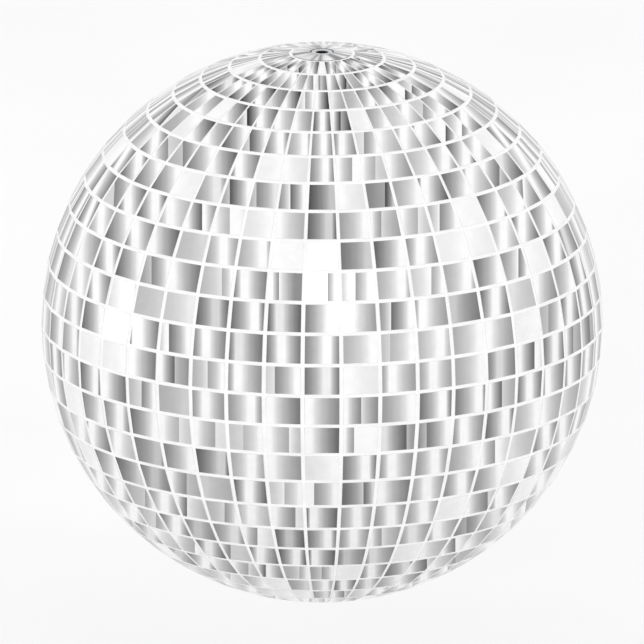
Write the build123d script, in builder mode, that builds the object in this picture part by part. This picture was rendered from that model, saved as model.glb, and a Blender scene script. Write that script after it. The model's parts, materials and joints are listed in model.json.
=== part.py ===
from build123d import *

import os
from math import cos, degrees, hypot, radians, sin, sqrt

# A 300 mm stage mirror ball that hangs from a flush M8 socket and turns on a thrust
# bearing hidden in its top.  The origin is the centre of the ball and +Z is the axis
# that it hangs and turns on.  All sizes are in millimetres.

# ---- mirror tiles ------------------------------------------------------------------
ball_diameter = 300.0  # over the corners of the tiles
columns = 45  # tiles round each row
rows = 28  # bands of latitude from pole to pole, the two polar caps included
tile_thickness = 2.0
row_gap = 1.8  # width of the joint between two rows
column_gap_share = 0.1  # share of a column that is joint, the same in every row

# ---- bed and core ------------------------------------------------------------------
adhesive_film = 0.1
bed_thickness = 1.4
core_wall = 2.5
polar_opening_radius = 15.2  # hole through bed and core at either pole

# ---- joint band at the equator -----------------------------------------------------
band_wall = 1.5
band_half_height = 14.0
band_fit = 0.05
band_rivets = 12
band_rivet_height = -7.0  # the rivets hold the band in the lower half only

# ---- rivets ------------------------------------------------------------------------
rivet_radius = 2.0
rivet_head_radius = 3.5
rivet_head_height = 1.2
hole_fit = 0.05  # radial room round rivets, screws and the tie rod
flush_depth = 0.3  # how far the set end of a rivet stays under the surface

# ---- load plates -------------------------------------------------------------------
plate_radius = 34.0
plate_face = 135.0  # height of the flat inner face of either plate
plate_rivets = 8
plate_rivet_circle = 30.0

# ---- swivel housing ----------------------------------------------------------------
housing_radius = 15.0
housing_top = 147.0
housing_bottom = 108.0
flange_radius = 26.0
flange_thickness = 4.0
cavity_radius = 13.3
cavity_top = 141.0
hub_screws_count = 6
hub_screw_circle = 20.5
hub_screw_radius = 2.0
hub_screw_head_radius = 3.5
hub_screw_head_height = 4.0
hub_screw_key_radius = 1.5
hub_screw_key_depth = 2.0
hub_screw_tip = 139.0
plug_thickness = 9.0
plug_fit = 0.05

# ---- swivel stud, its bush and its nuts ----------------------------------------------
stud_radius = 6.0
stud_top = 149.8
stud_bottom = 120.5
stud_chamfer = 0.4
socket_radius = 3.4  # tapping size of an M8 thread
socket_depth = 20.5
bush_radius = 7.98
running_fit = 0.05
cap_clearance = 0.3
bush_fit = 0.05  # radial room round the bush in its bore
stud_nut_flats = 19.0
stud_nut_height = 5.0
nut_chamfer_slope = 0.6  # height of a nut's corner chamfer over its depth

# ---- thrust bearing ------------------------------------------------------------------
race_outer_radius = 13.2
upper_race_bore_radius = 6.6
lower_race_outer_radius = 12.8
race_height = 3.1
bearing_height = 9.0
bearing_ball_count = 11
bearing_ball_radius = 2.38
bearing_pitch_radius = 9.7
groove_fit = 0.05
cage_inner_radius = 7.2
cage_outer_radius = 12.2
cage_height = 1.2
cage_pocket_fit = 0.07

# ---- tie rod and the hardware at the bottom ------------------------------------------
rod_radius = 5.0
rod_top = 116.0
rod_bottom = -146.0
hub_face = -128.0  # inner face of the thick middle of the bottom plate
hub_face_radius = 16.0
hub_slope_radius = 20.0
counterbore_face = -132.0
counterbore_radius = 12.5
rod_nut_flats = 17.0
jam_nut_height = 6.0
rod_nut_height = 8.0
washer_radius = 10.5
washer_thickness = 2.0
spring_washer_radius = 9.0
spring_washer_thickness = 2.5
spring_washer_slot = 1.5

# ---- polar caps ------------------------------------------------------------------------
cap_seat = 147.0
cap_spigot_inner = 12.6
cap_spigot_outer = 15.0
cap_spigot_height = 3.0

# ---- sizes that follow from those above -------------------------------------------------
ball_radius = ball_diameter / 2
row_pitch = 180 / rows
half_gap = degrees(row_gap / 2 / ball_radius)  # of latitude
half_column = radians(360 / columns * (1 - column_gap_share) / 2)
half_row = radians(row_pitch / 2 - half_gap)
face_depth = ball_radius * cos(half_column) * cos(half_row)
bed_radius = face_depth - tile_thickness - adhesive_film
core_radius = bed_radius - bed_thickness
core_inner_radius = core_radius - core_wall
cap_radius = ball_radius * sin(radians(row_pitch - half_gap))
FROM_BASE = (Align.CENTER, Align.CENTER, Align.MIN)

os.makedirs("parts", exist_ok=True)


def save(builder, label):
    """Name one finished piece and write it to its own file."""
    builder.part.label = label
    export_step(builder.part, f"parts/{label}.step")


def height_on(radius, off_axis):
    """Height above the centre of the point of a sphere this far off the axis."""
    return sqrt(radius**2 - off_axis**2)


# ---- mirror rows ------------------------------------------------------------------------
def tile_row(low_latitude, high_latitude):
    """A ring of separate flat glass tiles whose face corners lie on the ball."""
    low = radians(low_latitude)
    high = radians(high_latitude)
    chord_radius = ball_radius * cos(half_column)
    rise_out = chord_radius * (cos(high) - cos(low))
    rise_up = ball_radius * (sin(high) - sin(low))
    tile_height = hypot(rise_out, rise_up)
    up_the_face = Vector(0, -rise_out, rise_up)
    face = Plane(
        origin=(0, -chord_radius * cos(low), ball_radius * sin(low)),
        x_dir=(1, 0, 0),
        z_dir=Vector(1, 0, 0).cross(up_the_face),
    )
    low_half_width = ball_radius * cos(low) * sin(half_column)
    high_half_width = ball_radius * cos(high) * sin(half_column)
    corners = [
        (-low_half_width, 0),
        (low_half_width, 0),
        (high_half_width, tile_height),
        (-high_half_width, tile_height),
    ]
    with BuildPart() as tile:
        with BuildSketch(face):
            Polygon(*corners, align=None)
        extrude(amount=-tile_thickness)
    with BuildPart() as ring:
        with PolarLocations(0, columns):
            add(tile.part)
    return ring


for row in range(1, rows // 2):
    low_edge = (row - 1) * row_pitch + half_gap
    high_edge = row * row_pitch - half_gap
    upper_row = tile_row(low_edge, high_edge)
    save(upper_row, f"upper_mirror_row_{row:02d}")
    with BuildPart() as lower_row:
        mirror(upper_row.part, about=Plane.XY)
    save(lower_row, f"lower_mirror_row_{row:02d}")


# ---- tile bed and core: hemispheres with a hole at the pole --------------------------------
def hemisphere(outer, inner):
    """The upper half of a hollow sphere, open at the pole."""
    with BuildPart() as half:
        with BuildSketch(Plane.XZ):
            Circle(outer)
            Circle(inner, mode=Mode.SUBTRACT)
            with Locations((polar_opening_radius, 0)):
                Rectangle(outer, outer, align=(Align.MIN, Align.MIN), mode=Mode.INTERSECT)
        revolve(axis=Axis.Z)
    return half


def vertical_holes(circle_radius, count, low, high, radius):
    """Cut a circle of vertical holes through the part being built."""
    with PolarLocations(circle_radius, count):
        with Locations((0, 0, low)):
            Cylinder(radius, high - low, align=FROM_BASE, mode=Mode.SUBTRACT)


def band_holes(radius, low, high):
    """Cut the radial rivet holes of the joint band, between two distances from the axis."""
    with PolarLocations(low, band_rivets):
        with Locations(Location((0, 0, band_rivet_height), (0, 90, 0))):
            Cylinder(radius, high - low, align=FROM_BASE, mode=Mode.SUBTRACT)


upper_bed = hemisphere(bed_radius, core_radius)
save(upper_bed, "upper_tile_bed")
with BuildPart() as lower_bed:
    mirror(upper_bed.part, about=Plane.XY)
save(lower_bed, "lower_tile_bed")

plain_shell = hemisphere(core_radius, core_inner_radius)
with BuildPart() as upper_shell:
    add(plain_shell.part)
    vertical_holes(
        plate_rivet_circle, plate_rivets, plate_face, ball_radius, rivet_radius + hole_fit
    )
save(upper_shell, "upper_core_shell")

with BuildPart() as lower_shell:
    mirror(upper_shell.part, about=Plane.XY)
    band_holes(rivet_radius + hole_fit, core_inner_radius - band_wall, ball_radius)
save(lower_shell, "lower_core_shell")


# ---- joint band: a spherical ring inside both shells, riveted to the lower one ------------
band_outer = core_inner_radius - band_fit
band_inner = band_outer - band_wall
with BuildPart() as joint_band:
    with BuildSketch(Plane.XZ):
        Circle(band_outer)
        Circle(band_inner, mode=Mode.SUBTRACT)
        Rectangle(
            ball_radius,
            2 * band_half_height,
            align=(Align.MIN, Align.CENTER),
            mode=Mode.INTERSECT,
        )
    revolve(axis=Axis.Z)
    band_holes(rivet_radius + hole_fit, band_inner - band_wall, ball_radius)
save(joint_band, "joint_band")

head_edge_height = abs(band_rivet_height) + rivet_head_radius
band_head_seat = height_on(height_on(band_inner, head_edge_height), rivet_head_radius)
shank_edge_height = abs(band_rivet_height) + rivet_radius
band_shank_end = height_on(core_radius, shank_edge_height) - flush_depth
with BuildPart() as band_rivet_set:
    with PolarLocations(band_head_seat - rivet_head_height, band_rivets):
        with Locations(Location((0, 0, band_rivet_height), (0, 90, 0))):
            Cylinder(rivet_head_radius, rivet_head_height, align=FROM_BASE)
            Cylinder(
                rivet_radius,
                band_shank_end - band_head_seat + rivet_head_height,
                align=FROM_BASE,
            )
save(band_rivet_set, "joint_band_rivets")


# ---- load plates: turned discs that fit the inside of either shell near its pole ----------
with BuildPart() as top_plate:
    with BuildSketch(Plane.XZ):
        Circle(core_inner_radius)
        with Locations((housing_radius + hole_fit, plate_face)):
            Rectangle(
                plate_radius - housing_radius - hole_fit,
                ball_radius,
                align=(Align.MIN, Align.MIN),
                mode=Mode.INTERSECT,
            )
    revolve(axis=Axis.Z)
    vertical_holes(
        plate_rivet_circle, plate_rivets, plate_face, ball_radius, rivet_radius + hole_fit
    )
    vertical_holes(
        hub_screw_circle,
        hub_screws_count,
        plate_face,
        hub_screw_tip + hole_fit,
        hub_screw_radius + hole_fit,
    )
save(top_plate, "top_load_plate")

with BuildPart() as bottom_plate:
    with BuildSketch(Plane.XZ):
        Circle(core_inner_radius)
        Polygon(
            (rod_radius + hole_fit, hub_face),
            (hub_face_radius, hub_face),
            (hub_slope_radius, -plate_face),
            (plate_radius, -plate_face),
            (plate_radius, -ball_radius),
            (counterbore_radius, -ball_radius),
            (counterbore_radius, counterbore_face),
            (rod_radius + hole_fit, counterbore_face),
            align=None,
            mode=Mode.INTERSECT,
        )
    revolve(axis=Axis.Z)
    vertical_holes(
        plate_rivet_circle, plate_rivets, -ball_radius, -plate_face, rivet_radius + hole_fit
    )
save(bottom_plate, "bottom_load_plate")

plate_shank_end = height_on(core_radius, plate_rivet_circle + rivet_radius) - flush_depth
with BuildPart() as top_rivets:
    with PolarLocations(plate_rivet_circle, plate_rivets):
        with Locations((0, 0, plate_face - rivet_head_height)):
            Cylinder(rivet_head_radius, rivet_head_height, align=FROM_BASE)
            Cylinder(
                rivet_radius,
                plate_shank_end - plate_face + rivet_head_height,
                align=FROM_BASE,
            )
save(top_rivets, "top_plate_rivets")
with BuildPart() as bottom_rivets:
    mirror(top_rivets.part, about=Plane.XY)
save(bottom_rivets, "bottom_plate_rivets")


# ---- swivel housing: a flanged cup that hangs the ball from the bearing -------------------
flange_bottom = plate_face - flange_thickness
with BuildPart() as housing:
    with BuildSketch(Plane.XY.offset(housing_bottom)):
        Circle(housing_radius)
    extrude(amount=housing_top - housing_bottom)
    with BuildSketch(Plane.XY.offset(flange_bottom)):
        Circle(flange_radius)
    extrude(amount=flange_thickness)
    with BuildSketch(Plane.XY.offset(housing_bottom)):
        Circle(cavity_radius)
    extrude(amount=cavity_top - housing_bottom, mode=Mode.SUBTRACT)
    with BuildSketch(Plane.XY.offset(cavity_top)):
        Circle(bush_radius + bush_fit)
    extrude(amount=housing_top - cavity_top, mode=Mode.SUBTRACT)
    vertical_holes(
        hub_screw_circle,
        hub_screws_count,
        flange_bottom,
        plate_face,
        hub_screw_radius + hole_fit,
    )
save(housing, "swivel_housing")

with BuildPart() as screws:
    with PolarLocations(hub_screw_circle, hub_screws_count):
        with Locations((0, 0, flange_bottom - hub_screw_head_height)):
            Cylinder(hub_screw_head_radius, hub_screw_head_height, align=FROM_BASE)
            Cylinder(
                hub_screw_radius,
                hub_screw_tip - flange_bottom + hub_screw_head_height,
                align=FROM_BASE,
            )
    screw_seat = Plane.XY.offset(flange_bottom - hub_screw_head_height)
    with BuildSketch(screw_seat):
        with PolarLocations(hub_screw_circle, hub_screws_count):
            RegularPolygon(hub_screw_key_radius, 6)
    extrude(amount=hub_screw_key_depth, mode=Mode.SUBTRACT)
save(screws, "hub_screws")

with BuildPart() as bush:
    with BuildSketch(Plane.XY.offset(cavity_top)):
        Circle(bush_radius)
        Circle(stud_radius + running_fit, mode=Mode.SUBTRACT)
    extrude(amount=housing_top - cavity_top)
save(bush, "guide_bush")

with BuildPart() as plug:
    with BuildSketch(Plane.XY.offset(housing_bottom)):
        Circle(cavity_radius - plug_fit)
        Circle(rod_radius + hole_fit, mode=Mode.SUBTRACT)
    extrude(amount=plug_thickness)
save(plug, "housing_plug")


# ---- hexagon nuts --------------------------------------------------------------------------
def hex_nut(across_flats, bore_radius, bottom, height):
    """A plain hexagon nut with its corners chamfered at both ends."""
    corner_radius = across_flats / sqrt(3)
    corner_cut = corner_radius - across_flats / 2
    with BuildPart() as turned_blank:
        with Locations((0, 0, bottom)):
            Cylinder(corner_radius, height, align=FROM_BASE)
        chamfer(
            turned_blank.edges().filter_by(GeomType.CIRCLE),
            corner_cut * nut_chamfer_slope,
            corner_cut,
        )
    with BuildPart() as nut:
        with BuildSketch(Plane.XY.offset(bottom)):
            RegularPolygon(corner_radius, 6)
        extrude(amount=height)
        add(turned_blank.part, mode=Mode.INTERSECT)
        with Locations((0, 0, bottom)):
            Cylinder(bore_radius, height, align=FROM_BASE, mode=Mode.SUBTRACT)
    return nut


# ---- swivel stud: the fixed shaft that the whole ball hangs from ---------------------------
with BuildPart() as stud:
    with BuildSketch(Plane.XY.offset(stud_bottom)):
        Circle(stud_radius)
    extrude(amount=stud_top - stud_bottom)
    end_edges = stud.edges().filter_by(GeomType.CIRCLE)
    chamfer(end_edges, stud_chamfer)
    with BuildSketch(Plane.XY.offset(stud_top)):
        Circle(socket_radius)
    extrude(amount=-socket_depth, mode=Mode.SUBTRACT)
    with Locations((0, 0, stud_top - stud_chamfer)):
        Cone(
            socket_radius,
            socket_radius + stud_chamfer,
            stud_chamfer,
            align=FROM_BASE,
            mode=Mode.SUBTRACT,
        )
save(stud, "swivel_stud")

bearing_bottom = cavity_top - bearing_height
retaining_nut = hex_nut(
    stud_nut_flats, stud_radius + running_fit, bearing_bottom - stud_nut_height, stud_nut_height
)
save(retaining_nut, "retaining_nut")
lock_nut = hex_nut(
    stud_nut_flats,
    stud_radius + running_fit,
    bearing_bottom - 2 * stud_nut_height,
    stud_nut_height,
)
save(lock_nut, "lock_nut")


# ---- thrust bearing --------------------------------------------------------------------------
ball_height = cavity_top - bearing_height / 2


def race(bottom, inner_radius, outer_radius, groove):
    """A flat bearing washer with a round groove for the balls."""
    with BuildPart() as race:
        with BuildSketch(Plane.XZ):
            with Locations((inner_radius, bottom)):
                Rectangle(
                    outer_radius - inner_radius, race_height, align=(Align.MIN, Align.MIN)
                )
            with Locations((bearing_pitch_radius, ball_height)):
                Circle(groove, mode=Mode.SUBTRACT)
        revolve(axis=Axis.Z)
    return race


groove_radius = bearing_ball_radius + groove_fit
upper_race = race(
    cavity_top - race_height, upper_race_bore_radius, race_outer_radius, groove_radius
)
save(upper_race, "upper_race")
lower_race = race(
    bearing_bottom, stud_radius + running_fit, lower_race_outer_radius, groove_radius
)
save(lower_race, "lower_race")

with BuildPart() as bearing_balls:
    with PolarLocations(bearing_pitch_radius, bearing_ball_count):
        with Locations((0, 0, ball_height)):
            Sphere(bearing_ball_radius)
save(bearing_balls, "bearing_balls")

with BuildPart() as cage:
    with BuildSketch(Plane.XY.offset(ball_height - cage_height / 2)):
        Circle(cage_outer_radius)
        Circle(cage_inner_radius, mode=Mode.SUBTRACT)
        with PolarLocations(bearing_pitch_radius, bearing_ball_count):
            Circle(bearing_ball_radius + cage_pocket_fit, mode=Mode.SUBTRACT)
    extrude(amount=cage_height)
save(cage, "bearing_cage")


# ---- tie rod and its fasteners -----------------------------------------------------------------
with BuildPart() as rod:
    with BuildSketch(Plane.XY.offset(rod_bottom)):
        Circle(rod_radius)
    extrude(amount=rod_top - rod_bottom)
    chamfer(rod.edges().filter_by(GeomType.CIRCLE), stud_chamfer)
save(rod, "tie_rod")

rod_bore = rod_radius + running_fit
jam_nut = hex_nut(rod_nut_flats, rod_bore, housing_bottom - jam_nut_height, jam_nut_height)
save(jam_nut, "tie_rod_jam_nut")

washer_bottom = counterbore_face - washer_thickness
with BuildPart() as washer:
    with BuildSketch(Plane.XY.offset(washer_bottom)):
        Circle(washer_radius)
        Circle(rod_bore, mode=Mode.SUBTRACT)
    extrude(amount=washer_thickness)
save(washer, "bottom_washer")

spring_washer_bottom = washer_bottom - spring_washer_thickness
with BuildPart() as spring_washer:
    with BuildSketch(Plane.XY.offset(spring_washer_bottom)):
        Circle(spring_washer_radius)
        Circle(rod_bore, mode=Mode.SUBTRACT)
        Rectangle(
            ball_radius,
            spring_washer_slot,
            align=(Align.MIN, Align.CENTER),
            mode=Mode.SUBTRACT,
        )
    extrude(amount=spring_washer_thickness)
save(spring_washer, "bottom_spring_washer")

rod_nut = hex_nut(
    rod_nut_flats, rod_bore, spring_washer_bottom - rod_nut_height, rod_nut_height
)
save(rod_nut, "bottom_nut")


# ---- polar caps: shallow domes that finish the ball inside the last mirror row ------------------
with BuildPart() as top_cap:
    with BuildSketch(Plane.XZ):
        Circle(ball_radius)
        with Locations((stud_radius + cap_clearance, cap_seat)):
            Rectangle(
                cap_radius - stud_radius - cap_clearance,
                ball_radius,
                align=(Align.MIN, Align.MIN),
                mode=Mode.INTERSECT,
            )
    revolve(axis=Axis.Z)
save(top_cap, "top_cap")

with BuildPart() as bottom_cap:
    with BuildSketch(Plane.XZ):
        Circle(ball_radius)
        with Locations((0, -cap_seat)):
            Rectangle(
                cap_radius, ball_radius, align=(Align.MIN, Align.MAX), mode=Mode.INTERSECT
            )
        with Locations((cap_spigot_inner, -cap_seat)):
            Rectangle(
                cap_spigot_outer - cap_spigot_inner,
                cap_spigot_height,
                align=(Align.MIN, Align.MIN),
            )
    revolve(axis=Axis.Z)
save(bottom_cap, "bottom_cap")
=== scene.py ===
import json
import random
from math import acos, cos, pi, radians, sin, sqrt, tau

import bpy
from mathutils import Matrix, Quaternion, Vector


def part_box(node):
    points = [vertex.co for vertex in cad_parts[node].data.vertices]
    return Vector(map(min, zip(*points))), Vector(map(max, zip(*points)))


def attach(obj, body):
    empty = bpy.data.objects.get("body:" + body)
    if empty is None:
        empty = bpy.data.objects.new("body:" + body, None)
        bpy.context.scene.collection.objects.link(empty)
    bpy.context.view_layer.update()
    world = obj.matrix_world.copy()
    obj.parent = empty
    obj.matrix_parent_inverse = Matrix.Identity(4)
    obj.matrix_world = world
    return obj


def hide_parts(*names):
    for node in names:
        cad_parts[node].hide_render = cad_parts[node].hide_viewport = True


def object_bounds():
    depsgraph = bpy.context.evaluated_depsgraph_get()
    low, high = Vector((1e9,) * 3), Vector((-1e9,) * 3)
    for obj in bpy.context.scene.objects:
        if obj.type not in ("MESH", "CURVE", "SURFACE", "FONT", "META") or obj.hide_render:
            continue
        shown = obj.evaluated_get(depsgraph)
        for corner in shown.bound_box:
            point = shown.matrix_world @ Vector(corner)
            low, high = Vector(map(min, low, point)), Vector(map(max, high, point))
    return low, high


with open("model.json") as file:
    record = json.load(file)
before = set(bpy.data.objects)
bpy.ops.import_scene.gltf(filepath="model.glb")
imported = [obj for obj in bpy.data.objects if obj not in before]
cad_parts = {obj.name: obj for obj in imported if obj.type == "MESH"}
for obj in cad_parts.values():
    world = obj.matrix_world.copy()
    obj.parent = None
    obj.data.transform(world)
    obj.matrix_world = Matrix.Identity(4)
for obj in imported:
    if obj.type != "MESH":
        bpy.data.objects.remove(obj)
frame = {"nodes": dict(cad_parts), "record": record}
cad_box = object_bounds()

# A 300 mm stage mirror ball. 26 rows of silvered glass tiles stand in white grout between
# two fluted polar caps, and a ground steel stud with a threaded socket shows at the top.
# Everything is in metres, with the ball's centre at the origin and -Y at the front.

MM = 0.001

# ---- the grid of tiles -------------------------------------------------------------------------
COLUMNS = 45
UPPER_ROWS = 13
BANDS = 2 * (UPPER_ROWS + 1)  # the two polar caps take a band each
ROW_GAP = 1.8 * MM
COLUMN_GAP_SHARE = 0.1
TILE_THICKNESS = 2.0 * MM
ARRIS = 0.10 * MM  # the ground edge that takes the sharpness off each tile
TILT = radians(0.35)  # the spread (one standard deviation) of tiles set out of true by hand
SEED = 45

lowest_row = frame["nodes"]["upper_mirror_row_01"].data.vertices
BALL_RADIUS = max(v.co.length for v in lowest_row)
ROW_PITCH = pi / BANDS
COLUMN_PITCH = tau / COLUMNS
HALF_ROW_GAP = ROW_GAP / 2 / BALL_RADIUS
HALF_COLUMN = COLUMN_PITCH / 2 * (1 - COLUMN_GAP_SHARE)

# ---- the grout ---------------------------------------------------------------------------------
GROUT_AT_TILE = 0.30 * MM  # how far the grout meets a tile below the tile's corners
GROUT_SAG = 0.22 * MM  # how much deeper the smoothed middle of a joint is
GROUT_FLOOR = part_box("upper_core_shell")[1].x  # the core that the grout is spread on


# ---- small helpers -----------------------------------------------------------------------------
def colour(code):
    """An sRGB hex colour as linear RGBA."""
    channels = [int(code[i : i + 2], 16) / 255 for i in (1, 3, 5)]
    linear = [c / 12.92 if c <= 0.04045 else ((c + 0.055) / 1.055) ** 2.4 for c in channels]
    return (*linear, 1.0)


def add_node(tree, kind, settings=None, stops=(), **inputs):
    """Add one shader node, set its properties, and set or link its named inputs.  A colour
    ramp also takes its stops, as (place, hex colour) pairs."""
    node = tree.nodes.new("ShaderNode" + kind)
    for name, value in (settings or {}).items():
        setattr(node, name, value)
    if stops:
        node.color_ramp.interpolation = "CARDINAL"
        for _ in stops[2:]:
            node.color_ramp.elements.new(0.5)
        for element, (place, code) in zip(node.color_ramp.elements, stops):
            element.position = place
            element.color = colour(code)
    for name, value in inputs.items():
        key = int(name[1:]) if name[0] == "_" and name[1:].isdigit() else name.replace("_", " ")
        socket = node.inputs[key]
        if isinstance(value, bpy.types.NodeSocket):
            tree.links.new(value, socket)
        else:
            socket.default_value = value
    return node


def new_material(name):
    """A material with a bare Principled shader, returned with its tree and that shader."""
    material = bpy.data.materials.new(name)
    material.use_nodes = True
    tree = material.node_tree
    return material, tree, tree.nodes["Principled BSDF"]


def join(tree, out, socket):
    """Link one output to one input."""
    tree.links.new(out, socket)


# ---- materials ---------------------------------------------------------------------------------
CLOUD_SIZE = 6 * MM  # of the silver's or the plating's unevenness
RIPPLE_SIZE = 7 * MM  # of rolled sheet
RIPPLE_DEPTH = 0.02 * MM
SMEAR_ROUGHNESS = 0.06  # added where hands have been
HAZE_ROUGHNESS = 0.05  # added to the dullest facets
RESTART_DIMMING = 0.5  # how far below full painted light a sweep can start again past its step


def painted_sweep_reflection(name, bands, unevenness, smear_size, roughness):
    """A bright, neutral mirror surface, with reflection painted into its base colour.  Each facet
    carries one painted level sweep of light and dark: a hill of light, a slope, or a slope cut
    by a hard edge."""
    material, tree, shader = new_material(name)
    sweep = add_node(tree, "UVMap", {"uv_map": "Sweep"})
    across = add_node(tree, "SeparateXYZ", Vector=sweep.outputs["UV"]).outputs["X"]
    shape = add_node(tree, "Attribute", {"attribute_name": "sweep_shape"})
    shape = add_node(tree, "SeparateXYZ", Vector=shape.outputs["Vector"])
    peak, step, fall = (shape.outputs[axis] for axis in "XYZ")
    tone = add_node(tree, "Attribute", {"attribute_name": "sweep_tone"})
    tone = add_node(tree, "SeparateXYZ", Vector=tone.outputs["Vector"])
    depth, shade, haze = (tone.outputs[axis] for axis in "XYZ")

    # One hill of painted light, whose feet are at the facet's two edges, or at its edge and the
    # step.
    place = add_node(tree, "Math", {"operation": "DIVIDE"}, _0=across, _1=step).outputs[0]
    rise = add_node(tree, "Math", {"operation": "DIVIDE"}, _0=place, _1=peak).outputs[0]
    left = add_node(tree, "Math", {"operation": "SUBTRACT"}, _0=1.0, _1=place).outputs[0]
    width = add_node(tree, "Math", {"operation": "SUBTRACT"}, _0=1.0, _1=peak).outputs[0]
    drop = add_node(tree, "Math", {"operation": "DIVIDE"}, _0=left, _1=width).outputs[0]
    hill = add_node(tree, "Math", {"operation": "MINIMUM"}, _0=rise, _1=drop).outputs[0]

    # Past the step the painted light starts again, at its brightest or somewhat below it.
    past = add_node(tree, "Math", {"operation": "SUBTRACT"}, _0=across, _1=step).outputs[0]
    lost = add_node(tree, "Math", {"operation": "MULTIPLY"}, _0=past, _1=fall).outputs[0]
    start = add_node(
        tree, "Math", {"operation": "MULTIPLY_ADD"}, _0=haze, _1=-RESTART_DIMMING, _2=1.0
    )
    again = add_node(
        tree, "Math", {"operation": "SUBTRACT"}, _0=start.outputs[0], _1=lost
    ).outputs[0]
    beyond = add_node(tree, "Math", {"operation": "GREATER_THAN"}, _0=past, _1=0.0).outputs[0]
    light = add_node(tree, "Mix", _0=beyond, _2=hill, _3=again).outputs[0]
    tint = add_node(tree, "ValToRGB", stops=bands, Fac=light)
    # The painted reflection's tones run from white to the bands as far as the facet's depth, and
    # dimmer facets take painted shade all over.
    silver = add_node(
        tree, "MixRGB", Fac=depth, Color1=colour(SWEEP_WHITE), Color2=tint.outputs["Color"]
    )
    shaded = add_node(
        tree, "MixRGB", {"blend_type": "MULTIPLY"}, Fac=shade,
        Color1=silver.outputs["Color"], Color2=colour(SWEEP_PAINTED_SHADE),
    )

    # The bright coat is very slightly uneven, in clouds a few millimetres wide.
    where = add_node(tree, "TexCoord").outputs["Object"]
    clouds = add_node(tree, "TexNoise", Vector=where, Scale=1 / CLOUD_SIZE, Detail=2.0)
    cloudy = add_node(
        tree, "ValToRGB", stops=[(0.3, unevenness), (0.7, "#ffffff")],
        Fac=clouds.outputs["Fac"],
    )
    toned = add_node(
        tree, "MixRGB", {"blend_type": "MULTIPLY"}, Fac=1.0,
        Color1=shaded.outputs["Color"], Color2=cloudy.outputs["Color"],
    )
    join(tree, toned.outputs["Color"], shader.inputs["Base Color"])

    # Haze from handling, and the faint ripple of rolled sheet.
    smears = add_node(
        tree, "TexNoise", Vector=where, Scale=1 / smear_size, Detail=4.0, Roughness=0.7
    )
    rough = add_node(
        tree, "MapRange", Value=smears.outputs["Fac"], From_Min=0.3, From_Max=0.7,
        To_Min=roughness, To_Max=roughness + SMEAR_ROUGHNESS,
    )
    rough = add_node(
        tree, "Math", {"operation": "MULTIPLY_ADD"},
        _0=haze, _1=HAZE_ROUGHNESS, _2=rough.outputs[0],
    )
    join(tree, rough.outputs[0], shader.inputs["Roughness"])
    ripple = add_node(tree, "TexNoise", Vector=where, Scale=1 / RIPPLE_SIZE, Detail=1.0)
    bump = add_node(
        tree, "Bump", Height=ripple.outputs["Fac"], Strength=0.25, Distance=RIPPLE_DEPTH
    )
    join(tree, bump.outputs["Normal"], shader.inputs["Normal"])
    shader.inputs["Metallic"].default_value = 1.0
    return material


def ground_glass_edge():
    """Cut and ground glass: the pale, slightly rough arris and sides of a tile."""
    material, tree, shader = new_material("ground_glass_edge")
    place = add_node(tree, "TexCoord").outputs["Object"]
    grind = add_node(tree, "TexNoise", Vector=place, Scale=1 / (0.4 * MM), Detail=2.0)
    tint = add_node(
        tree, "ValToRGB", stops=[(0.3, "#d9dcdb"), (0.7, "#f4f5f5")],
        Fac=grind.outputs["Fac"],
    )
    join(tree, tint.outputs["Color"], shader.inputs["Base Color"])
    rough = add_node(tree, "MapRange", Value=grind.outputs["Fac"], To_Min=0.25, To_Max=0.5)
    join(tree, rough.outputs[0], shader.inputs["Roughness"])
    return material


def white_tile_grout():
    """White filled grout, wiped smooth with a finger: matt, with fine sand in it."""
    material, tree, shader = new_material("white_tile_grout")
    place = add_node(tree, "TexCoord").outputs["Object"]
    sand = add_node(tree, "TexNoise", Vector=place, Scale=1 / (0.5 * MM), Detail=3.0)
    wipes = add_node(tree, "TexNoise", Vector=place, Scale=1 / (12 * MM), Detail=2.0)
    both = add_node(
        tree, "Math", {"operation": "MULTIPLY_ADD"},
        _0=sand.outputs["Fac"], _1=0.4, _2=wipes.outputs["Fac"],
    )
    tint = add_node(
        tree, "ValToRGB", stops=[(0.45, "#f6f6f6"), (0.95, "#ffffff")],
        Fac=both.outputs[0],
    )
    join(tree, tint.outputs["Color"], shader.inputs["Base Color"])
    rough = add_node(tree, "MapRange", Value=sand.outputs["Fac"], To_Min=0.7, To_Max=0.95)
    join(tree, rough.outputs[0], shader.inputs["Roughness"])
    bump = add_node(
        tree, "Bump", Height=sand.outputs["Fac"], Strength=0.5, Distance=0.05 * MM
    )
    join(tree, bump.outputs["Normal"], shader.inputs["Normal"])
    return material


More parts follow.
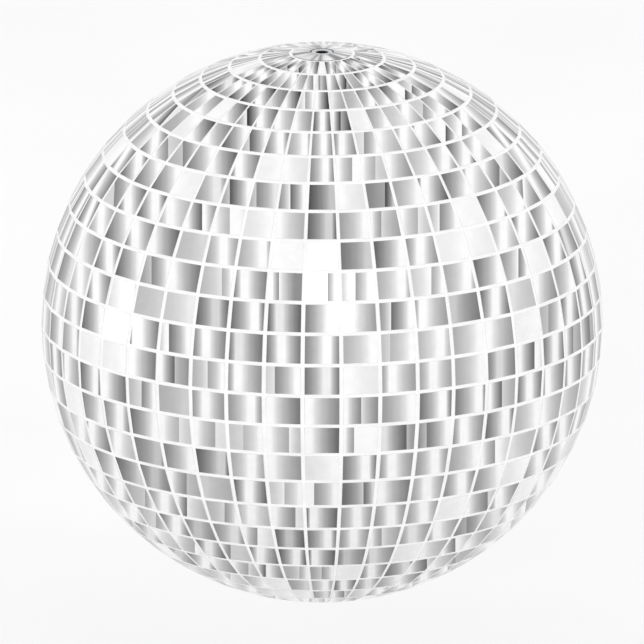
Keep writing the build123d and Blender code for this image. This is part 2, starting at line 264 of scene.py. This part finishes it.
def turned_metal(name, code, dark_code, ring_pitch, roughness):
    """Bare metal off a lathe: fine rings round the ball's axis and a little staining."""
    material, tree, shader = new_material(name)
    place = add_node(tree, "TexCoord").outputs["Object"]
    axes = add_node(tree, "SeparateXYZ", Vector=place)
    flat = add_node(tree, "CombineXYZ", X=axes.outputs["X"], Y=axes.outputs["Y"])
    out = add_node(
        tree, "VectorMath", {"operation": "LENGTH"}, _0=flat.outputs["Vector"]
    ).outputs["Value"]
    reach = add_node(tree, "Math", {"operation": "ADD"}, _0=out, _1=axes.outputs["Z"])
    phase = add_node(
        tree, "Math", {"operation": "MULTIPLY"}, _0=reach.outputs[0], _1=tau / ring_pitch
    )
    rings = add_node(tree, "Math", {"operation": "SINE"}, _0=phase.outputs[0])
    stain = add_node(tree, "TexNoise", Vector=place, Scale=1 / (4 * MM), Detail=4.0)
    tint = add_node(
        tree, "MixRGB", Fac=stain.outputs["Fac"], Color1=colour(code), Color2=colour(dark_code)
    )
    join(tree, tint.outputs["Color"], shader.inputs["Base Color"])
    rough = add_node(
        tree, "MapRange", Value=stain.outputs["Fac"],
        To_Min=roughness - 0.08, To_Max=roughness + 0.12,
    )
    join(tree, rough.outputs[0], shader.inputs["Roughness"])
    bump = add_node(
        tree, "Bump", Height=rings.outputs[0], Strength=0.3, Distance=0.01 * MM
    )
    join(tree, bump.outputs["Normal"], shader.inputs["Normal"])
    shader.inputs["Metallic"].default_value = 1.0
    return material


def moulded_core_plastic():
    """Moulded ABS: slightly warm off-white with a fine spark-eroded texture."""
    material, tree, shader = new_material("moulded_core_plastic")
    place = add_node(tree, "TexCoord").outputs["Object"]
    grain = add_node(tree, "TexNoise", Vector=place, Scale=1 / (0.8 * MM), Detail=2.0)
    tint = add_node(
        tree, "ValToRGB", stops=[(0.3, "#d2d2cd"), (0.7, "#dedfda")],
        Fac=grain.outputs["Fac"],
    )
    join(tree, tint.outputs["Color"], shader.inputs["Base Color"])
    rough = add_node(tree, "MapRange", Value=grain.outputs["Fac"], To_Min=0.42, To_Max=0.6)
    join(tree, rough.outputs[0], shader.inputs["Roughness"])
    bump = add_node(
        tree, "Bump", Height=grain.outputs["Fac"], Strength=0.3, Distance=0.02 * MM
    )
    join(tree, bump.outputs["Normal"], shader.inputs["Normal"])
    return material


def zinc_plated_steel():
    """Bright zinc with clear passivation: cool grey, mottled by its crystals, with a soft
    sheen."""
    material, tree, shader = new_material("zinc_plated_steel")
    place = add_node(tree, "TexCoord").outputs["Object"]
    crystals = add_node(tree, "TexVoronoi", Vector=place, Scale=1 / (1.5 * MM))
    stain = add_node(tree, "TexNoise", Vector=place, Scale=1 / (6 * MM), Detail=3.0)
    both = add_node(
        tree, "Math", {"operation": "MULTIPLY_ADD"},
        _0=crystals.outputs["Distance"], _1=0.3, _2=stain.outputs["Fac"],
    )
    tint = add_node(
        tree, "ValToRGB", stops=[(0.3, "#9b9fa4"), (0.6, "#b8bcc0"), (0.9, "#cccfd0")],
        Fac=both.outputs[0],
    )
    join(tree, tint.outputs["Color"], shader.inputs["Base Color"])
    rough = add_node(tree, "MapRange", Value=stain.outputs["Fac"], To_Min=0.28, To_Max=0.45)
    join(tree, rough.outputs[0], shader.inputs["Roughness"])
    bump = add_node(
        tree, "Bump", Height=crystals.outputs["Distance"], Strength=0.2, Distance=0.01 * MM
    )
    join(tree, bump.outputs["Normal"], shader.inputs["Normal"])
    shader.inputs["Metallic"].default_value = 1.0
    return material


# The painted reflection: the sweep of light across a facet, from its darkest to its brightest.
GLASS_BANDS = [
    (0.0, "#0c0c0c"),
    (0.16, "#565656"),
    (0.34, "#868686"),
    (0.54, "#b2b2b2"),
    (0.71, "#dedede"),
    (0.81, "#fbfbfb"),
    (1.0, "#fdfdfd"),
]
PLATING_BANDS = [
    (0.0, "#080808"),
    (0.25, "#383838"),
    (0.55, "#7c7c7c"),
    (0.80, "#dcdcdc"),
    (1.0, "#f8f8f8"),
]
# The painted reflection's white, and the painted shade laid over dimmer facets.
SWEEP_WHITE = "#fdfdfd"
SWEEP_PAINTED_SHADE = "#b4b4b4"

glass = painted_sweep_reflection("silvered_mirror_glass", GLASS_BANDS, "#fafafa", 2.5 * MM, 0.10)
plating = painted_sweep_reflection("bright_plated_steel", PLATING_BANDS, "#eeeeee", 1.5 * MM, 0.14)
glass_edge = ground_glass_edge()
grout = white_tile_grout()

SLOT_MATERIALS = {
    "core_plastic": moulded_core_plastic(),
    "turned_aluminium": turned_metal(
        "turned_aluminium", "#d5d7d8", "#b4b6b8", 0.25 * MM, 0.30
    ),
    "zinc_plated_steel": zinc_plated_steel(),
    "bearing_brass": turned_metal("bearing_brass", "#d9b566", "#b08a3e", 0.3 * MM, 0.30),
    "bearing_steel": turned_metal("bearing_steel", "#c9cacc", "#adafb2", 0.12 * MM, 0.16),
    "black_oxide_steel": turned_metal(
        "black_oxide_steel", "#2c2c2e", "#1b1b1d", 0.2 * MM, 0.38
    ),
}
for part in frame["record"]["subparts"]:
    if part["material_slot"] in SLOT_MATERIALS:
        for place in frame["nodes"][part["node"]].material_slots:
            place.material = SLOT_MATERIALS[part["material_slot"]]


# ---- the painted sweep of light that each facet carries ----------------------------------------
chance = random.Random(SEED)
# Shares of the facets that carry each kind of sweep; all the others carry a plain slope.
HILL_SHARE = 0.42
STEP_SHARE = 0.19
WHITE_SHARE = 0.07
GREY_SHARE = 0.04
DIM_SHARE = 0.14  # and those that are dimmer all over, in painted shade

SLOPE = (0.01, 1.0, 0.0)  # peak, step and fall of a plain slope, bright at its start
HILL_PEAKS = (0.12, 0.88)
STEP_PLACES = (0.3, 0.75)
STEP_FALLS = (0.1, 1.6)
FULL_DEPTH = 0.86  # of the darkest tones, at the equator
DEPTH_SPREAD = 0.4
WHITE_DEPTHS = (0.05, 0.2)
GREY_DEPTHS = (0.2, 0.4)
SHADES = (0.2, 0.8)  # of dim and of grey facets
# how much deeper the painted reflection's tones grow towards the poles
POLE_DEEPENING = 0.5

# Sines of the angles, from the front or the back, where a sweep stops running straight across
# and where it starts to run along the facet's own width.
STRAIGHT_TO = sin(radians(62))
OWN_FROM = sin(radians(88))


def sweep_axis(longitude):
    """The level direction that a sweep runs in: straight across the ball over its front and
    its back, and easing round to the facet's own width at the two sides."""
    straight = Vector((1 if cos(longitude) > 0 else -1, 0, 0))
    own = Vector((cos(longitude), sin(longitude), 0))
    ease = (abs(sin(longitude)) - STRAIGHT_TO) / (OWN_FROM - STRAIGHT_TO)
    ease = min(max(ease, 0), 1)
    return straight.lerp(own, ease * ease * (3 - 2 * ease)).normalized()


def draw_sweep(latitude):
    """Pick one facet's painted reflection: its shape (peak, step, fall) and its tone (depth,
    shade, haze).  Its painted tones are deeper towards the poles."""
    kind = chance.random()
    lean = (abs(latitude) / (pi / 2)) ** 3
    depth = FULL_DEPTH - DEPTH_SPREAD * chance.random() ** 1.5
    depth *= 1 + POLE_DEEPENING * lean
    shade = chance.uniform(*SHADES) if chance.random() < DIM_SHARE else 0.0
    peak, step, fall = SLOPE
    if kind < HILL_SHARE:  # a hill of painted light inside the facet
        peak = chance.uniform(*HILL_PEAKS)
    elif kind < HILL_SHARE + STEP_SHARE:  # a painted slope, a hard edge, and painted light again
        step = chance.uniform(*STEP_PLACES)
        fall = chance.uniform(*STEP_FALLS)
    elif kind < HILL_SHARE + STEP_SHARE + WHITE_SHARE:
        depth = chance.uniform(*WHITE_DEPTHS)
        shade = 0.0
    elif kind < HILL_SHARE + STEP_SHARE + WHITE_SHARE + GREY_SHARE:
        depth = chance.uniform(*GREY_DEPTHS)
        shade = chance.uniform(*SHADES)
    return (peak, step, fall), (depth, shade, chance.random())


def sweep_places(corners, longitude, mirrored):
    """Where each corner lies across its facet's sweep, from 0 to 1."""
    axis = sweep_axis(longitude)
    reach = [corner.dot(axis) for corner in corners]
    low, high = min(reach), max(reach)
    places = [(r - low) / (high - low) for r in reach]
    return [1 - p for p in places] if mirrored else places


# ---- meshes ------------------------------------------------------------------------------------
def on_ball(latitude, longitude, radius=BALL_RADIUS):
    """A point of the ball.  Longitude runs from the front, -Y, towards +X."""
    level = radius * cos(latitude)
    return Vector((level * sin(longitude), -level * cos(longitude), radius * sin(latitude)))


WELD_GAP = 0.001 * MM


class Facets:
    """Collects faces with their sweep, their place on the bake map and their material."""

    def __init__(self):
        self.points, self.faces = [], []
        self.sweeps, self.shapes, self.tones = [], [], []
        self.maps, self.slots = [], []

    def add(self, corners, sweep, shape, tone, map_places, slot):
        first = len(self.points)
        self.points += corners
        self.faces.append(tuple(range(first, first + len(corners))))
        self.sweeps += [(place, 0.5) for place in sweep]
        self.shapes.append(shape)
        self.tones.append(tone)
        self.maps += map_places
        self.slots.append(slot)

    def finish(self, name, materials):
        """Make the object, with corners that lie together joined into one."""
        mesh = bpy.data.meshes.new(name)
        mesh.from_pydata(self.points, [], self.faces)
        for material in materials:
            mesh.materials.append(material)
        mesh.polygons.foreach_set("material_index", self.slots)
        for layer, places in (("Sweep", self.sweeps), ("OFBake", self.maps)):
            uv = mesh.uv_layers.new(name=layer)
            uv.uv.foreach_set("vector", [x for place in places for x in place])
        for label, values in (("sweep_shape", self.shapes), ("sweep_tone", self.tones)):
            attribute = mesh.attributes.new(label, "FLOAT_VECTOR", "FACE")
            attribute.data.foreach_set("vector", [x for value in values for x in value])
        piece = bpy.data.objects.new(name, mesh)
        bpy.context.scene.collection.objects.link(piece)
        bpy.context.view_layer.objects.active = piece
        weld = piece.modifiers.new("weld", "WELD")
        weld.merge_threshold = WELD_GAP
        return piece


def drawn_in(corners, margin):
    """The outline of a flat tile drawn in by an even margin."""
    inner = []
    for i, corner in enumerate(corners):
        ahead = (corners[(i + 1) % len(corners)] - corner).normalized()
        behind = (corners[i - 1] - corner).normalized()
        inner.append(corner + (ahead + behind) * (margin / ahead.cross(behind).length))
    return inner


MAP_COLUMNS, MAP_ROWS = 6, 8  # cells of the bake map: one for each tile's face, three to spare
MAP_MARGIN = 0.03  # share of a cell left clear all round
TILES_PER_SPARE = 15  # tiles whose sides and backs share one spare cell, side by side
TILE_STRIPS = 6  # of a tile's share of that cell: four for its sides and one for its back


def cell(number, left=0.0, right=1.0, bottom=0.0, top=1.0):
    """The corners of part of one cell of the bake map."""
    column, row = number % MAP_COLUMNS, number // MAP_COLUMNS
    span = 1 - 2 * MAP_MARGIN
    xs = [(column + MAP_MARGIN + span * share) / MAP_COLUMNS for share in (left, right)]
    ys = [(row + MAP_MARGIN + span * share) / MAP_ROWS for share in (bottom, top)]
    return [(xs[0], ys[0]), (xs[1], ys[0]), (xs[1], ys[1]), (xs[0], ys[1])]


def mirror_tile(facets, number, low, high, longitude):
    """One bevelled glass tile between two latitudes."""
    corners = [
        on_ball(low, longitude - HALF_COLUMN),
        on_ball(low, longitude + HALF_COLUMN),
        on_ball(high, longitude + HALF_COLUMN),
        on_ball(high, longitude - HALF_COLUMN),
    ]
    centre = sum(corners, Vector()) / 4
    width = (corners[1] - corners[0]).normalized()
    normal = width.cross(corners[3] - corners[0]).normalized()
    height = normal.cross(width)
    turn = Quaternion(width, chance.gauss(0, TILT)) @ Quaternion(height, chance.gauss(0, TILT))
    rim = [centre + turn @ (corner - centre) for corner in corners]
    normal = turn @ normal
    face = drawn_in(rim, ARRIS)
    shoulder = [corner - ARRIS * normal for corner in rim]
    back = [corner - TILE_THICKNESS * normal for corner in rim]
    shape, tone = draw_sweep((low + high) / 2)
    mirrored = chance.random() < 0.5
    facets.add(
        face, sweep_places(face, longitude, mirrored), shape, tone, cell(number), 0
    )
    plain = [0.5] * 4
    spare = COLUMNS + number // TILES_PER_SPARE
    left = (number % TILES_PER_SPARE) / TILES_PER_SPARE
    right = left + 1 / TILES_PER_SPARE
    for i in range(4):
        j = (i + 1) % 4
        bottom, top = i / TILE_STRIPS, (i + 1) / TILE_STRIPS
        middle = (bottom + top) / 2
        strip = cell(spare, left, right, bottom, middle)
        facets.add(
            [shoulder[i], shoulder[j], face[j], face[i]], plain, shape, tone, strip, 1
        )
        strip = cell(spare, left, right, middle, top)
        facets.add([back[i], back[j], shoulder[j], shoulder[i]], plain, shape, tone, strip, 1)
    strip = cell(spare, left, right, (TILE_STRIPS - 1) / TILE_STRIPS, 1.0)
    facets.add(back[::-1], plain, shape, tone, strip, 1)


def mirror_row(half, row):
    """One ring of tiles, in the place of its CAD row."""
    sign = 1 if half == "upper" else -1
    low = sign * ((row - 1) * ROW_PITCH + HALF_ROW_GAP)
    high = sign * (row * ROW_PITCH - HALF_ROW_GAP)
    low, high = min(low, high), max(low, high)
    facets = Facets()
    for number in range(COLUMNS):
        mirror_tile(facets, number, low, high, number * COLUMN_PITCH)
    piece = facets.finish(f"mirror_tiles_{half}_{row:02d}", [glass, glass_edge])
    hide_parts(f"{half}_mirror_row_{row:02d}")
    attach(piece, "ball")


for half in ("upper", "lower"):
    for row in range(1, UPPER_ROWS + 1):
        mirror_row(half, row)


# ---- polar caps --------------------------------------------------------------------------------
CAP_RINGS = [1.0, 0.9, 0.8, 0.7, 0.6, 0.5]  # of the cap's radius, from its rim inward
CAP_CLEARANCE = 0.3 * MM  # between the hanging stud and the cap that turns round it
CLOSED_CAP_RINGS = [0.38, 0.26, 0.14, 0.05]
# The caps' painted reflection: its tone, its dimmest flute, and how far its painted light darkens
# towards the pole.
CAP_TONE = (0.84, 0.0, 0.4)
DIMMEST_FLUTE = 0.12
POLE_DIMMING = 0.55
END_SWEEP = 0.6  # the even painted reflection tone of the closed cap's flat ends
CAP_STRIPS = 12  # of a flute's cell on the bake map
FIRST_SIDE_STRIP = 9  # the rings of flutes fill the strips below it


def cap_ring(radius, height):
    """The corners of one ring of flutes."""
    turns = [(k + 0.5) * COLUMN_PITCH for k in range(COLUMNS)]
    return [Vector((radius * sin(turn), -radius * cos(turn), height)) for turn in turns]


def polar_cap(half):
    """A pressed dome with one plated flute for each column of tiles.  Its painted streaks of
    reflected light run in from the rim, and draw together and darken at the pole."""
    sign = 1 if half == "upper" else -1
    node = "top_cap" if half == "upper" else "bottom_cap"
    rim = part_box(node)[1].x
    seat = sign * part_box("top_cap")[0].z
    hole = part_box("swivel_stud")[1].x + CAP_CLEARANCE
    inner_rings = [hole / rim] if half == "upper" else CLOSED_CAP_RINGS
    radii = [rim * share for share in CAP_RINGS + inner_rings]
    rings = [cap_ring(radius, sign * sqrt(BALL_RADIUS**2 - radius**2)) for radius in radii]
    # Each flute's painted brightness, and its painted darkening towards the pole.
    light = [
        DIMMEST_FLUTE + (1 - DIMMEST_FLUTE) * chance.random() ** 0.5 for _ in range(COLUMNS)
    ]
    dimming = [1 - POLE_DIMMING * (1 - radius / rim) ** 2 for radius in radii]
    facets = Facets()
    for level in range(len(rings) - 1):
        outer, inner = rings[level], rings[level + 1]
        for k in range(COLUMNS):
            corners = [outer[k - 1], outer[k], inner[k], inner[k - 1]]
            lights = [light[k - 1], light[k], light[k], light[k - 1]]
            dims = [dimming[level], dimming[level], dimming[level + 1], dimming[level + 1]]
            sweep = [1 - bright * dim for bright, dim in zip(lights, dims)]
            strip = cell(k, 0.0, 1.0, level / CAP_STRIPS, (level + 1) / CAP_STRIPS)
            if sign < 0:
                corners, sweep = corners[::-1], sweep[::-1]
            facets.add(corners, sweep, SLOPE, CAP_TONE, strip, 0)
    foot = cap_ring(rim, seat)
    sides = [(foot, rings[0])]
    if half == "upper":
        neck = cap_ring(hole, seat)
        sides += [(rings[-1], neck), (neck, foot)]
    for level, (start, end) in enumerate(sides, FIRST_SIDE_STRIP):
        for k in range(COLUMNS):
            corners = [start[k - 1], start[k], end[k], end[k - 1]]
            strip = cell(k, 0.0, 1.0, level / CAP_STRIPS, (level + 1) / CAP_STRIPS)
            facets.add(corners[::sign], [0.5] * 4, SLOPE, CAP_TONE, strip, 0)
    if half == "lower":
        for ring, spare in ((rings[-1][::-1], COLUMNS), (foot, COLUMNS + 1)):
            width = 2 * ring[0].xy.length
            left, bottom = cell(spare)[0]
            right, top = cell(spare)[2]
            places = [
                (
                    left + (right - left) * (0.5 + corner.x / width),
                    bottom + (top - bottom) * (0.5 + corner.y / width),
                )
                for corner in ring
            ]
            facets.add(ring, [END_SWEEP] * COLUMNS, SLOPE, CAP_TONE, places, 0)
    piece = facets.finish(f"polar_cap_{half}", [plating])
    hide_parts(node)
    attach(piece, "ball")


for half in ("upper", "lower"):
    polar_cap(half)


# ---- grout -------------------------------------------------------------------------------------
ADHESIVE_FILM = 0.1 * MM
POCKET_DEPTH = TILE_THICKNESS + ADHESIVE_FILM - GROUT_AT_TILE
CREASE = radians(40)  # edges sharper than this stay sharp


def joint_steps(centre, half_gap):
    """Places across one joint, each with its depth: edge, middle, edge."""
    edge, middle = GROUT_AT_TILE, GROUT_AT_TILE + GROUT_SAG
    return [(centre - half_gap, edge), (centre, middle), (centre + half_gap, edge)]


def grout_shell(half):
    """White grout over one half of the core, dished along every joint, with a pocket for
    every tile."""
    sign = 1 if half == "upper" else -1
    gap_longitude = COLUMN_PITCH * COLUMN_GAP_SHARE / 2
    around = [
        step
        for column in range(COLUMNS)
        for step in joint_steps((column + 0.5) * COLUMN_PITCH, gap_longitude)
    ]
    up = joint_steps(0, HALF_ROW_GAP)[1:]
    for row in range(1, UPPER_ROWS + 1):
        up += joint_steps(row * ROW_PITCH, HALF_ROW_GAP)
    points = []
    for latitude, row_depth in up:
        for longitude, column_depth in around:
            radius = BALL_RADIUS - max(row_depth, column_depth)
            points.append(on_ball(sign * latitude, longitude, radius))

    # The inside has flat faces, so its corners stand off the round core.
    floor_radius = GROUT_FLOOR / cos(COLUMN_PITCH / 2) / cos(ROW_PITCH / 2)
    mouth = acos(cos(up[-1][0]) * BALL_RADIUS / floor_radius)
    inside = [mouth] + [row * ROW_PITCH for row in range(UPPER_ROWS, -1, -1)]
    for latitude in inside:
        for longitude, _ in around:
            points.append(on_ball(sign * latitude, longitude, floor_radius))

    faces = []
    rings, count = len(up) + len(inside), len(around)
    for ring in range(rings):
        for step in range(count):
            after = (step + 1) % count
            above = (ring + 1) % rings
            quad = [ring * count + step, ring * count + after]
            quad += [above * count + after, above * count + step]
            quad = quad[::sign]
            under_tile = ring % 3 == 1 and step % 3 == 2 and ring < len(up) - 1
            if not under_tile:
                faces.append(quad)
                continue
            rim = [points[corner] for corner in quad]
            normal = (rim[1] - rim[0]).cross(rim[3] - rim[0]).normalized()
            first = len(points)
            points += [corner - POCKET_DEPTH * normal for corner in rim]
            floor = [first + i for i in range(4)]
            faces.append(floor)
            for i in range(4):
                j = (i + 1) % 4
                faces.append([quad[i], quad[j], floor[j], floor[i]])

    mesh = bpy.data.meshes.new(f"grout_{half}")
    mesh.from_pydata(points, [], faces)
    mesh.materials.append(grout)
    mesh.shade_smooth()
    mesh.set_sharp_from_angle(angle=CREASE)
    piece = bpy.data.objects.new(f"grout_{half}", mesh)
    bpy.context.scene.collection.objects.link(piece)
    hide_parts(f"{half}_tile_bed")
    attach(piece, "ball")


for half in ("upper", "lower"):
    grout_shell(half)


# ---- stage, light and camera -------------------------------------------------------------------
FLOOR_DROP = 120 * MM  # how far the ball hangs above the floor
CAMERA_RISE = radians(15.4)
VIEW_WIDTH = 344 * MM
CAMERA_AWAY = 2.0
FLOOR_HALF_SIDE = 15.0
ROOM_LIGHT = 1.02
LIGHT_AWAY = 2.4


def pale_floor():
    """A matt, pale, slightly mottled floor."""
    material, tree, shader = new_material("pale_matt_floor")
    place = add_node(tree, "TexCoord").outputs["Object"]
    mottle = add_node(tree, "TexNoise", Vector=place, Scale=3.0, Detail=3.0)
    tint = add_node(
        tree, "ValToRGB", stops=[(0.3, "#f7f7f7"), (0.7, "#fbfbfb")],
        Fac=mottle.outputs["Fac"],
    )
    join(tree, tint.outputs["Color"], shader.inputs["Base Color"])
    shader.inputs["Roughness"].default_value = 0.9
    mesh = bpy.data.meshes.new("floor")
    height = cad_box[0].z - FLOOR_DROP
    mesh.from_pydata(
        [(x, y, height) for x, y in ((-1, -1), (1, -1), (1, 1), (-1, 1))], [], [(0, 1, 2, 3)]
    )
    for vertex in mesh.vertices:
        vertex.co.x *= FLOOR_HALF_SIDE
        vertex.co.y *= FLOOR_HALF_SIDE
    mesh.materials.append(material)
    floor = bpy.data.objects.new("floor", mesh)
    bpy.context.scene.collection.objects.link(floor)


def soft_light(name, direction, size, power):
    """A round soft box that faces the ball."""
    lamp = bpy.data.lights.new(name, "AREA")
    lamp.shape = "DISK"
    lamp.size = size
    lamp.energy = power
    box = bpy.data.objects.new(name, lamp)
    away = Vector(direction).normalized()
    box.location = away * LIGHT_AWAY
    box.rotation_mode = "QUATERNION"
    box.rotation_quaternion = away.to_track_quat("Z", "Y")
    box.visible_camera = False
    bpy.context.scene.collection.objects.link(box)


def white_room():
    """Even white light from all round."""
    world = bpy.data.worlds.new("white_room")
    world.use_nodes = True
    backdrop = world.node_tree.nodes["Background"]
    backdrop.inputs["Color"].default_value = colour("#ffffff")
    backdrop.inputs["Strength"].default_value = ROOM_LIGHT
    bpy.context.scene.world = world


def front_camera():
    """A camera without perspective, a little above the ball."""
    lens = bpy.data.cameras.new("camera")
    lens.type = "ORTHO"
    lens.ortho_scale = VIEW_WIDTH
    lens.clip_end = 100.0
    camera = bpy.data.objects.new("camera", lens)
    back = Vector((0, -cos(CAMERA_RISE), sin(CAMERA_RISE)))
    camera.location = back * CAMERA_AWAY
    camera.rotation_mode = "QUATERNION"
    camera.rotation_quaternion = back.to_track_quat("Z", "Y")
    bpy.context.scene.collection.objects.link(camera)
    bpy.context.scene.camera = camera


pale_floor()
white_room()
front_camera()
soft_light("front_box", (0, -0.91, 0.41), size=1.5, power=2.8)
soft_light("left_box", (-1.0, -0.05, -0.08), size=1.4, power=2.2)
bpy.context.scene.view_settings.view_transform = "Standard"
bpy.context.scene.view_settings.look = "None"
